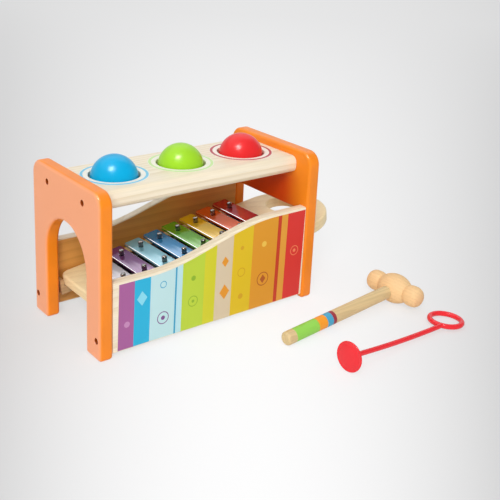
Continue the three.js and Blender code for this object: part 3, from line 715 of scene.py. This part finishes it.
def build(name, shells, material, body, nodes, flat_edges=False):
    """Joins shells into one closed mesh, makes it a piece, and lets it stand for its CAD nodes."""
    starts = np.cumsum([0] + [len(points) for points, _ in shells])
    points = np.concatenate([p for p, _ in shells])
    faces = [[int(i + start) for i in f] for start, (_, fs) in zip(starts, shells) for f in fs]
    mesh = bpy.data.meshes.new(name)
    mesh.from_pydata(points.tolist(), [], faces)
    work = bmesh.new()
    work.from_mesh(mesh)
    bmesh.ops.remove_doubles(work, verts=work.verts, dist=1e-6)
    bmesh.ops.recalc_face_normals(work, faces=work.faces)
    work.to_mesh(mesh)
    work.free()
    mesh.polygons.foreach_set("use_smooth", np.ones(len(mesh.polygons), bool))
    mesh.materials.append(material)
    piece = bpy.data.objects.new(name, mesh)
    bpy.context.scene.collection.objects.link(piece)
    if flat_edges:
        mesh.set_sharp_from_angle(angle=math.radians(50))
        shading = piece.modifiers.new("flat_faces", "WEIGHTED_NORMAL")
        shading.weight = 95
        shading.keep_sharp = True
    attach(piece, body)
    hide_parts(*nodes)
    return piece


def positions(piece):
    """Every vertex of a piece, as an array in metres."""
    points = np.empty(len(piece.data.vertices) * 3)
    piece.data.vertices.foreach_get("co", points)
    return points.reshape(-1, 3)


def mark(piece, name, values):
    """Stores a number or a vector for each vertex."""
    kind, key = ("FLOAT_VECTOR", "vector") if values.ndim == 2 else ("FLOAT", "value")
    layer = piece.data.attributes.new(name, kind, "POINT")
    layer.data.foreach_set(key, values.astype(np.float32).ravel())


def dress(nodes, material):
    """Gives CAD nodes that stay in view their finish."""
    for name in nodes:
        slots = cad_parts[name].data.materials
        slots.clear()
        slots.append(material)


def screw_places(sizes):
    """Where the screws go through an end panel: (y, z) pairs."""
    board = (sizes.board_depth / 2 - BOARD_SCREW_INSET, BOARD_TOP - sizes.board_thick / 2)
    skirt = (SKIRT_BACK_Y + sizes.skirt_thick / 2, SKIRT_SCREW_HEIGHT)
    return [(sign * y, z) for y, z in (board, skirt) for sign in (-1, 1)]


class EndPanels(bpy.types.Operator):
    """Builds the two orange end panels, with the arch, the window and the screw bores"""

    bl_idname = "pounding.end_panels"
    bl_label = "End Panels"

    def execute(self, context):
        sizes = context.scene.pounding_bench
        half, top = PANEL_DEPTH / 2, PANEL_HEIGHT
        corner, foot, arch = sizes.panel_corner, sizes.panel_foot, sizes.arch_half
        outside = [(half, 0, foot), (half, top, corner), (-half, top, corner), (-half, 0, foot)]
        crown = sizes.arch_spring + arch
        inside = [(-arch, 0, foot), (-arch, crown, arch), (arch, crown, arch), (arch, 0, foot)]
        window = rounded([(sign * sizes.window_half, height, WINDOW_CORNER) for sign, height in (
            (-1, sizes.window_sill), (-1, sizes.window_top), (1, sizes.window_top), (1, sizes.window_sill))])
        bores = [(circle(y, z, sizes.screw_bore / 2, 20), BORE_RIM) for y, z in screw_places(sizes)]
        thick = OUTER_HALF - INNER_HALF
        edge = sizes.panel_edge
        paint = panel_lacquer(context.scene.pounding_finishes)
        panels = (
            ("left", -OUTER_HALF, [(rounded(outside + inside, 24), edge)]),
            ("right", INNER_HALF, [(rounded(outside, 24), edge), (window, edge)]),
        )
        for end, start, loops in panels:
            shells = moved(plate(loops + bores, thick), TO_X, BENCH + (start, 0, 0))
            piece = build(f"{end}_panel_lacquered", shells, paint, "bench", [f"{end}_end_panel"],
                          True)
            place = (positions(piece) - BENCH)[:, 1:]
            away = np.min([np.linalg.norm(place - screw, axis=1) for screw in screw_places(sizes)], 0)
            mark(piece, "bore", (away < sizes.screw_bore / 2 + ON_FACE).astype(float))
        return {"FINISHED"}


class TopBoard(bpy.types.Operator):
    """Builds the top board with its rounded noses and three holes"""

    bl_idname = "pounding.top_board"
    bl_label = "Top Board"

    def execute(self, context):
        sizes = context.scene.pounding_bench
        low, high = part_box("top_board")
        ends = np.array((low.x, high.x)) - BENCH[0]
        half, nose = sizes.board_depth / 2, sizes.board_nose
        bottom = BOARD_TOP - sizes.board_thick
        section = rounded([(-half, bottom, nose), (half, bottom, nose), (half, BOARD_TOP, nose),
                           (-half, BOARD_TOP, nose)], 9)
        shells = []
        # The section's flat runs along the top and the bottom are left out: the drilled faces close them.
        for sign in (-1, 1):
            side = section[np.sign(section[:, 0]) == sign]
            side = side[np.argsort(side[:, 1])]
            run = np.broadcast_to(side, (2, *side.shape))
            x = np.broadcast_to(ends[:, None, None], (2, len(side), 1))
            shells.append(surface(np.concatenate((x, run), -1)))
        flat = half - nose
        border = np.array([(ends[0], -flat), (ends[1], -flat), (ends[1], flat), (ends[0], flat)])
        radius, rim = sizes.ball_hole / 2, sizes.hole_rim
        centres = [(number - 1) * sizes.ball_pitch for number in range(3)]
        flare = radius + rim
        profile = np.concatenate((arc(flare, bottom + rim, rim, -0.5, -1, 4),
                                  arc(flare, BOARD_TOP - rim, rim, 1, 0.5, 4)))
        for x in centres:
            shells += moved([lathe(profile, 72)], shift=(x, 0, 0))
        for level in (bottom, BOARD_TOP):
            loops = [border] + [circle(x, 0, flare, 72) for x in centres]
            shells.append(flat_face([np.column_stack((loop, np.full(len(loop), level))) for loop in loops]))
        for x in ends:
            cap = np.column_stack((np.full(len(section), x), section))
            shells.append((cap, [list(range(len(cap)))]))
        paint = board_paint(context.scene.pounding_finishes, sizes)
        build("drilled_top_board", moved(shells, shift=BENCH), paint, "bench", ["top_board"], True)
        return {"FINISHED"}


class WavePanels(bpy.types.Operator):
    """Builds the printed front panel and the plain back panel, each with a wave along its top"""

    bl_idname = "pounding.wave_panels"
    bl_label = "Front and Back Panels"

    def execute(self, context):
        sizes = context.scene.pounding_bench
        finishes = context.scene.pounding_finishes
        low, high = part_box("front_panel")
        x = np.linspace(low.x, high.x, 116) - BENCH[0]
        middle, swing = (sizes.skirt_high + sizes.skirt_low) / 2, (sizes.skirt_high - sizes.skirt_low) / 2

        def top(along):
            """The wave: half a sine, low at the left and high at the right."""
            return middle + swing * np.sin(math.pi / 2 * np.clip(along / sizes.wave_half, -1, 1))

        half, edge = sizes.skirt_thick / 2, sizes.skirt_edge
        flat = half - edge
        # The section runs up the front, over the top, down the back and under. Each point has its depth, a
        # share of the wave's height, and a lift over that.
        rise = np.linspace(0, 1, 14)[1:-1]
        front, back = (np.column_stack((np.full(len(rise), side), 0 * rise)) for side in (-half, half))
        y, lift = np.concatenate((
            arc(-flat, edge, edge, -0.5, -1, 5), front, arc(-flat, -edge, edge, 1, 0.5, 5),
            arc(flat, -edge, edge, 0.5, 0, 5), back, arc(flat, edge, edge, 0, -0.5, 5))).T
        share = np.concatenate((np.zeros(5), rise, np.ones(10), rise[::-1], np.zeros(5)))
        height = top(x)[:, None] - SKIRT_LOW_Z
        z = SKIRT_LOW_Z + share * height + lift
        paints = {"front": printed_panel(finishes), "back": shaded_back_panel(finishes)}
        for side, start in (("front", SKIRT_FRONT_Y), ("back", SKIRT_BACK_Y)):
            points = np.stack(np.broadcast_arrays(x[:, None], start + half + y[None], z), -1)
            skin, faces = surface(points, closed=True)
            count = points.shape[1]
            faces += [list(range(count)), list(range(len(skin) - count, len(skin)))]
            piece = build(f"{side}_wave_panel", moved([(skin, faces)], shift=BENCH), paints[side], "bench",
                          [f"{side}_panel"], True)
            place = positions(piece) - BENCH
            under = top(place[:, 0]) - place[:, 2]
            mark(piece, "panel_mm", np.stack((place[:, 0], under, place[:, 2]), -1) / MM)
            mark(piece, "print_face", (place[:, 1] < start + ON_FACE).astype(float))
        return {"FINISHED"}


class BallsAndSeats(bpy.types.Operator):
    """Builds the three lacquered balls and the rubber rings that hold them"""

    bl_idname = "pounding.balls"
    bl_label = "Balls and Seats"

    def execute(self, context):
        finishes = context.scene.pounding_finishes
        rubber = moulded("black_rubber", "#232326", 0.7)
        for name in BALLS:
            low, high = np.array(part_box(f"{name}_ball"))
            radius = (high[2] - low[2]) / 2
            profile = arc(0, 0, radius, -0.5, 0.5, 41)
            paint = lacquer(f"{name}_gloss_lacquer", getattr(finishes, f"ball_{name}"), 6.0, Roughness=0.28,
                            Specular_IOR_Level=0.22)[0]
            build(f"{name}_lacquered_ball", moved([lathe(profile, 80)], shift=(low + high) / 2), paint,
                  f"{name}_ball", [f"{name}_ball"])
            low, high = np.array(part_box(f"{name}_ball_seat"))
            tube_radius = (high[2] - low[2]) / 2
            ring = (high[0] - low[0]) / 2 - tube_radius
            profile = arc(ring, 0, tube_radius, 0, 2, 25)
            build(f"{name}_rubber_seat", moved([lathe(profile, 72)], shift=(low + high) / 2), rubber, "bench",
                  [f"{name}_ball_seat"])
        return {"FINISHED"}


def on_base(shells):
    """Puts shells drawn on the base's top plane onto its slope."""
    return moved(shells, about_y(BASE_SLOPE), BENCH + (0, 0, BASE_TOP))


def on_bars(shells):
    """Puts shells drawn on the plane of the bars' tops onto the base."""
    return on_base(moved(shells, about_y(WEDGE), (BAR_SIDE, 0, BAR_RISE)))


class XylophoneBase(bpy.types.Operator):
    """Builds the board under the bars, with its round end and hand slot"""

    bl_idname = "pounding.base"
    bl_label = "Xylophone Base"

    def execute(self, context):
        sizes = context.scene.pounding_xylophone
        finishes = context.scene.pounding_finishes
        half, start, corner = sizes.base_half, -sizes.base_start, sizes.base_corner
        tip = sizes.base_round + half
        outline = rounded([(tip, half, half), (start, half, corner), (start, -half, corner),
                           (tip, -half, half)], 32)
        wide, reach = sizes.slot_half, sizes.slot_reach
        left, right = sizes.slot_centre - wide, sizes.slot_centre + wide
        slot = rounded([(right, reach, wide), (right, -reach, wide), (left, -reach, wide),
                        (left, reach, wide)], 24)
        shells = plate([(outline, sizes.base_edge), (slot, sizes.base_edge)], sizes.base_thick, 7)
        paint = base_wood(finishes, sizes)
        build("slide_out_board", on_base(moved(shells, shift=(0, 0, -sizes.base_thick))), paint, "xylophone",
              ["xylophone_base"], True)
        runners = [f"{side}_runner" for side, _ in SIDES]
        # Painted shade: the runners' wood is darkened for the shade under the base.
        darkened_strips = wood("oiled_birch_strips_darkened_as_shade", finishes.strip_pale_shaded, finishes.strip_deep_shaded, 3.5, (0.0, -0.1, 0.03))
        dress(runners, darkened_strips[0])
        # Painted shade: the rails wear the black felt too, so that no wood shows in the shade between the
        # bars.
        strips = [f"{side}_{kind}" for side, _ in SIDES for kind in ("rail", "felt_strip")]
        dress(strips, felt_cloth("wool_felt", "#1E1D20"))
        return {"FINISHED"}


def bar_places(sizes):
    """Place up the slope and half length of each bar, from the low end."""
    number = np.arange(BAR_COUNT)
    along = sizes.bar_shift + sizes.bar_pitch * (number - (BAR_COUNT - 1) / 2)
    return along, sizes.bar_half - sizes.bar_step * (BAR_COUNT - 1 - number)


class ToneBars(bpy.types.Operator):
    """Builds the eight lacquered tone bars with their drilled holes"""

    bl_idname = "pounding.tone_bars"
    bl_label = "Tone Bars"

    def execute(self, context):
        sizes = context.scene.pounding_xylophone
        wide, corner = sizes.bar_width / 2, sizes.bar_corner
        for number, (along, half) in enumerate(zip(*bar_places(sizes))):
            outline = rounded([(wide, half, corner), (-wide, half, corner), (-wide, -half, corner),
                               (wide, -half, corner)], 8)
            loops = [(outline, sizes.bar_edge)]
            for _, sign in SIDES:
                hole = circle(0, sign * sizes.pin_share * half, sizes.pin_hole, 24)
                loops.append((hole, BAR_HOLE_RIM))
            shells = moved(plate(loops, sizes.bar_thick, 4), shift=(along, 0, -sizes.bar_thick))
            paint, code = BAR_PAINTS[number]
            coat = bar_lacquer(f"{paint}_lacquered_steel", code)
            build(f"{paint}_tone_bar", on_bars(shells), coat, "xylophone", [f"tone_bar_{number + 1}"],
                  True)
        return {"FINISHED"}


class BarPins(bpy.types.Operator):
    """Builds the steel pins that hold the bars, each with a flat-topped round head"""

    bl_idname = "pounding.bar_pins"
    bl_label = "Bar Pins"

    def execute(self, context):
        sizes = context.scene.pounding_xylophone
        metal = steel("drawn_steel_pins", "#8E8C8A", 0.2)
        shank, head = sizes.pin_shank, sizes.pin_head
        edge = head / 2.5
        for number, (along, half) in enumerate(zip(*bar_places(sizes))):
            x = BAR_SIDE + along * math.cos(WEDGE) + sizes.bar_thick / 2 * math.sin(WEDGE)
            level = BAR_RISE + (x - BAR_SIDE) * math.tan(WEDGE)
            seat, top = level + PIN_GAP, level + sizes.pin_rise
            stem = ((0, -PIN_DEPTH), (shank, -PIN_DEPTH), (shank, seat), (head - PIN_RIM, seat),
                    (head, seat + PIN_RIM))
            crown = arc(head - edge, top - edge, edge, 0, 0.5, 5)
            profile = np.concatenate((stem, crown, ((0, top),)))
            for side, sign in SIDES:
                shells = moved([lathe(profile, 28)], shift=(x, sign * sizes.pin_share * half, 0))
                build(f"{side}_pin_{number + 1}", on_base(shells), metal, "xylophone",
                      [f"bar_pin_{number + 1}_{side}"], True)
        return {"FINISHED"}


def bezier(points, count):
    """Points along a Bezier curve: each control point is weighed by its Bernstein share."""
    points = np.asarray(points, float)
    degree = len(points) - 1
    share = np.linspace(0, 1, count)[:, None]
    power = np.arange(degree + 1)[None]
    choose = np.array([math.comb(degree, k) for k in range(degree + 1)])
    return (choose * share ** power * (1 - share) ** (degree - power)) @ points


class Mallet(bpy.types.Operator):
    """Builds the mallet: a turned head with two knobs, and a handle with painted bands"""

    bl_idname = "pounding.mallet"
    bl_label = "Mallet"

    def execute(self, context):
        sizes = context.scene.pounding_loose
        finishes = context.scene.pounding_finishes
        groove, knob, half = sizes.groove_at, sizes.knob_radius, sizes.head_half
        shoulder = (groove + half) / 2 - 1 * MM
        barrel = bezier([(sizes.head_radius, 0), (sizes.head_radius, groove * 0.55),
                         (sizes.groove_radius, groove)], 17)
        rise = bezier([(sizes.groove_radius, groove), (knob, groove + knob / 5), (knob, shoulder)], 11)
        tip = bezier([(knob, shoulder), (knob, half - knob / 4), (knob * 0.62, half), (0, half)], 19)
        side = np.concatenate((barrel, rise[1:], tip[1:]))
        profile = np.concatenate((side[:0:-1] * (1, -1), side))
        low, high = np.array(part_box("mallet_head"))
        centre = np.array((*(low + high)[:2] / 2, sizes.head_radius))
        droop = math.asin((sizes.head_radius - sizes.handle_radius) / sizes.handle_length)
        turn = about_z(MALLET_TURN) @ about_y(droop)
        lying = np.array(((1, 0, 0), (0, 0, -1), (0, 1, 0)), float)
        head = moved(moved([lathe(profile, 72)], lying), turn, centre)
        pale = finishes.head_wood
        beech = wood("beech_head", pale, darker(pale, 0.82), 3.2, (-0.11, 0.0, 0.03), axis="Y", gloss=0.6,
                     contrast=0.25, sheen=0.12)[0]
        build("turned_mallet_head", head, beech, "mallet", ["mallet_head"])
        radius, edge, reach = sizes.handle_radius, sizes.handle_round, sizes.handle_length
        cap = arc(radius - edge, edge - reach, edge, -0.5, 0, 8)
        straight = np.stack((np.full(24, radius), np.linspace(edge - reach, sizes.handle_socket, 24)), -1)
        profile = np.concatenate((((0, -reach),), cap, straight[1:], ((0, sizes.handle_socket),)))
        handle = moved(moved([lathe(profile, 48)], TO_X), turn, centre)
        piece = build("banded_mallet_handle", handle, banded_handle(finishes), "mallet", ["mallet_handle"],
                      True)
        mark(piece, "along_mm", ((positions(piece) - centre) @ turn[:, 0] + reach) / MM)
        return {"FINISHED"}


class Beater(bpy.types.Operator):
    """Builds the red beater: a disc, a bowed stick and a finger ring, run together as one moulding"""

    bl_idname = "pounding.beater"
    bl_label = "Beater"

    def execute(self, context):
        sizes = context.scene.pounding_loose
        radius, thick, dome = sizes.disc_radius, sizes.disc_thick, sizes.disc_dome
        face = bezier([(0, -dome), (radius * 0.6, -dome), (radius * 0.84, dome * 0.5)], 14)
        rim = bezier([(radius * 0.84, dome * 0.5), (radius * 0.9, -dome * 1.1), (radius * 1.06, -dome * 0.6),
                      (radius, thick * 0.8), (radius * 0.9, thick)], 19)
        disc = np.concatenate((face, rim[1:], ((0, thick),)))
        ring_radius = sizes.ring_outer - sizes.ring_tube
        reach = sizes.beater_length
        join = (reach - ring_radius * math.cos(STICK_JOIN), -ring_radius * math.sin(STICK_JOIN), 0)
        path = bezier([(thick / 2, 0, 0), (reach / 2, 0, -sizes.stick_bow), join], 40)
        ring = arc(ring_radius, 0, sizes.ring_tube, 0, 2, 33)
        shells = moved([lathe(disc, 64)], TO_X) + [tube(path, sizes.stick_radius, 20)]
        shells += moved([lathe(ring, 72)], shift=(reach, 0, 0))
        droop = math.atan2(radius - sizes.ring_tube, reach + ring_radius)
        shells = moved(shells, about_z(BEATER_TURN) @ about_y(-droop))
        every = np.concatenate([points for points, _ in shells])
        low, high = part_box("beater")
        # The far end, the near side and the floor place it.
        shift = (high.x - every[:, 0].max(), low.y - every[:, 1].min(), -every[:, 2].min())
        shells = moved(shells, shift=shift)
        paint = moulded("moulded_red_plastic", context.scene.pounding_finishes.beater_red, 0.22)
        piece = build("moulded_beater", shells, paint, "beater", ["beater"])
        joined = piece.modifiers.new("run_together", "REMESH")
        joined.mode = "VOXEL"
        joined.voxel_size = BEATER_VOXEL
        joined.use_smooth_shade = True
        eased = piece.modifiers.new("eased_joins", "SMOOTH")
        eased.iterations = 6
        return {"FINISHED"}


class Fasteners(bpy.types.Operator):
    """Gives the screws and the dowels their finish"""

    bl_idname = "pounding.fasteners"
    bl_label = "Screws and Dowels"

    def execute(self, context):
        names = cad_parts
        # Painted shade: the screws are made dark so that the deep bores look shaded.
        dress([n for n in names if "_screw_" in n], steel("dark_screws_as_bore_shade", "#2E2A27", 0.4))
        tone = context.scene.pounding_finishes.handle_wood
        beech = wood("beech_dowels", tone, darker(tone, 0.8), 2.0)[0]
        dress([n for n in names if "_dowel_" in n], beech)
        return {"FINISHED"}


# Camera of the photograph, in the bench's frame: millimetres, degrees and image widths.
EYE = (-470.92, -684.75, 411.79)
AZIMUTH, ELEVATION, ROLL = -38.213, 16.471, 2.431
FOCAL_WIDTHS = 875.0 / 500
SHIFT = (0.0295, -0.199)
SENSOR = 36.0

# Fan of light on the paper: where it starts, from the bench's middle, its turn, and its middle and half
# width as slopes; then the distances over which its rims set in and over which it changes, its levels along
# its middle and its rims, and its share in what is seen of the paper.
FAN_START = (-0.537, -0.788, 0.0)
FAN_TURN = math.radians(-38)
FAN_MIDDLE = 0.016
FAN_SPREAD = 0.275
FAN_MOUTH = (0.3, 0.62)
FAN_REACH = (0.9, 3.2)
FAN_LEVEL = (1.04, 0.94)
FAN_RIM_LEVEL = (0.62, 0.82)
GLOW_SHARE = 0.7
FLOOR_HALF = 6.0
FLOOR_LEVEL = -0.05 * MM

# Strength of the room's light on the pieces. Mirrored in them the room is dim in front; at the back it has a
# white backdrop, a dim gap and a bright soft window over it. Each range is a height or a depth of a ray.
ROOM_LIGHT = 0.45
DIM_LEVEL = 0.3
WINDOW_LEVEL = 2.2
BACKDROP_TOP = (0.43, 0.47)
WINDOW_SILL = (0.538, 0.549)
BACK_DEPTH = (-0.1, 0.3)

# Lamps: name, place and aim in millimetres from the bench's middle, width in metres, watts, and what they
# act on.
LAMPS = (
    ("top_softbox", (0, 0, 1500), (0, 0, 90), 1.5, 3.4, "diffuse"),
    ("left_softbox", (-1300, 0, 450), (0, 0, 80), 0.9, 0.7, "diffuse"),
    ("key_softbox", (-1560, -1700, 1750), (0, 0, 80), 1.2, 47.0, "diffuse"),
    ("sparkle", (-590, -380, 1250), (0, 0, 150), 0.48, 26.0, "glossy"),
)


class Stage(bpy.types.Operator):
    """Makes the paper floor, the soft lamps, the pale room and the camera"""

    bl_idname = "pounding.stage"
    bl_label = "Stage"

    def execute(self, context):
        scene = context.scene
        mesh = bpy.data.meshes.new("paper_floor")
        side = (-FLOOR_HALF, FLOOR_HALF)
        corners = [(x, y, FLOOR_LEVEL) for x in side for y in side]
        mesh.from_pydata(corners, [], grid_quads(2, 2).tolist())
        mesh.materials.append(paper_floor(scene.pounding_finishes))
        floor = bpy.data.objects.new("paper_floor", mesh)
        scene.collection.objects.link(floor)
        world = bpy.data.worlds.new("pale_room")
        world.use_nodes = True
        scene.world = world
        sky = world.node_tree.nodes["Background"]
        sky.inputs["Color"].default_value = opaque("#FCFCFF")
        world.node_tree.links.new(room_level(world.node_tree), sky.inputs["Strength"])
        for name, place, aim, width, watts, acts_on in LAMPS:
            lamp = bpy.data.lights.new(name, "AREA")
            lamp.shape = "DISK"
            lamp.size = width
            lamp.energy = watts
            holder = bpy.data.objects.new(name, lamp)
            holder.visible_glossy = acts_on == "glossy"
            holder.visible_diffuse = acts_on == "diffuse"
            place = Vector(BENCH) + Vector(place) * MM
            way = Vector(BENCH) + Vector(aim) * MM - place
            turn = way.to_track_quat("-Z", "Y").to_matrix().to_4x4()
            holder.matrix_world = Matrix.Translation(place) @ turn
            scene.collection.objects.link(holder)
        a, e, r = (math.radians(v) for v in (AZIMUTH, ELEVATION, ROLL))
        back = np.array((math.sin(a) * math.cos(e), -math.cos(a) * math.cos(e), math.sin(e)))
        right = np.array((math.cos(a), math.sin(a), 0))
        up = np.cross(back, right)
        rolled = (math.cos(r) * right + math.sin(r) * up, math.cos(r) * up - math.sin(r) * right)
        axes = Matrix(np.stack((*rolled, back), 1).tolist()).to_4x4()
        lens = bpy.data.cameras.new("photograph_view")
        lens.sensor_width = SENSOR
        lens.lens = FOCAL_WIDTHS * SENSOR
        lens.shift_x, lens.shift_y = SHIFT
        camera = bpy.data.objects.new("photograph_view", lens)
        camera.matrix_world = Matrix.Translation(Vector(BENCH) + Vector(EYE) * MM) @ axes
        scene.collection.objects.link(camera)
        scene.camera = camera
        scene.view_settings.view_transform = "Standard"
        return {"FINISHED"}


OPERATORS = (EndPanels, TopBoard, WavePanels, BallsAndSeats, XylophoneBase, ToneBars, BarPins, Mallet, Beater,
             Fasteners, Stage)
GROUPS = (("pounding_bench", BenchSizes), ("pounding_xylophone", XylophoneSizes),
          ("pounding_loose", LooseSizes), ("pounding_finishes", Finishes))


class XylophonePanel(bpy.types.Panel):
    """Lists the pieces and the sizes and colours that they are made from"""

    bl_idname = "VIEW3D_PT_pounding_xylophone"
    bl_label = "Pounding Xylophone"
    bl_space_type = "VIEW_3D"
    bl_region_type = "UI"
    bl_category = "Xylophone"

    def draw(self, context):
        column = self.layout.column(align=True)
        for operator in OPERATORS:
            column.operator(operator.bl_idname)
        for key, group in GROUPS:
            box = self.layout.box()
            for name in group.__annotations__:
                box.prop(getattr(context.scene, key), name)


def register():
    for key, group in GROUPS:
        bpy.utils.register_class(group)
        setattr(bpy.types.Scene, key, PointerProperty(type=group))
    for kind in (*OPERATORS, XylophonePanel):
        bpy.utils.register_class(kind)


def unregister():
    for kind in reversed((*OPERATORS, XylophonePanel)):
        bpy.utils.unregister_class(kind)
    for key, group in reversed(GROUPS):
        delattr(bpy.types.Scene, key)
        bpy.utils.unregister_class(group)


def main():
    register()
    for operator in OPERATORS:
        group, name = operator.bl_idname.split(".")
        getattr(getattr(bpy.ops, group), name)()


if __name__ == "__main__":
    main()
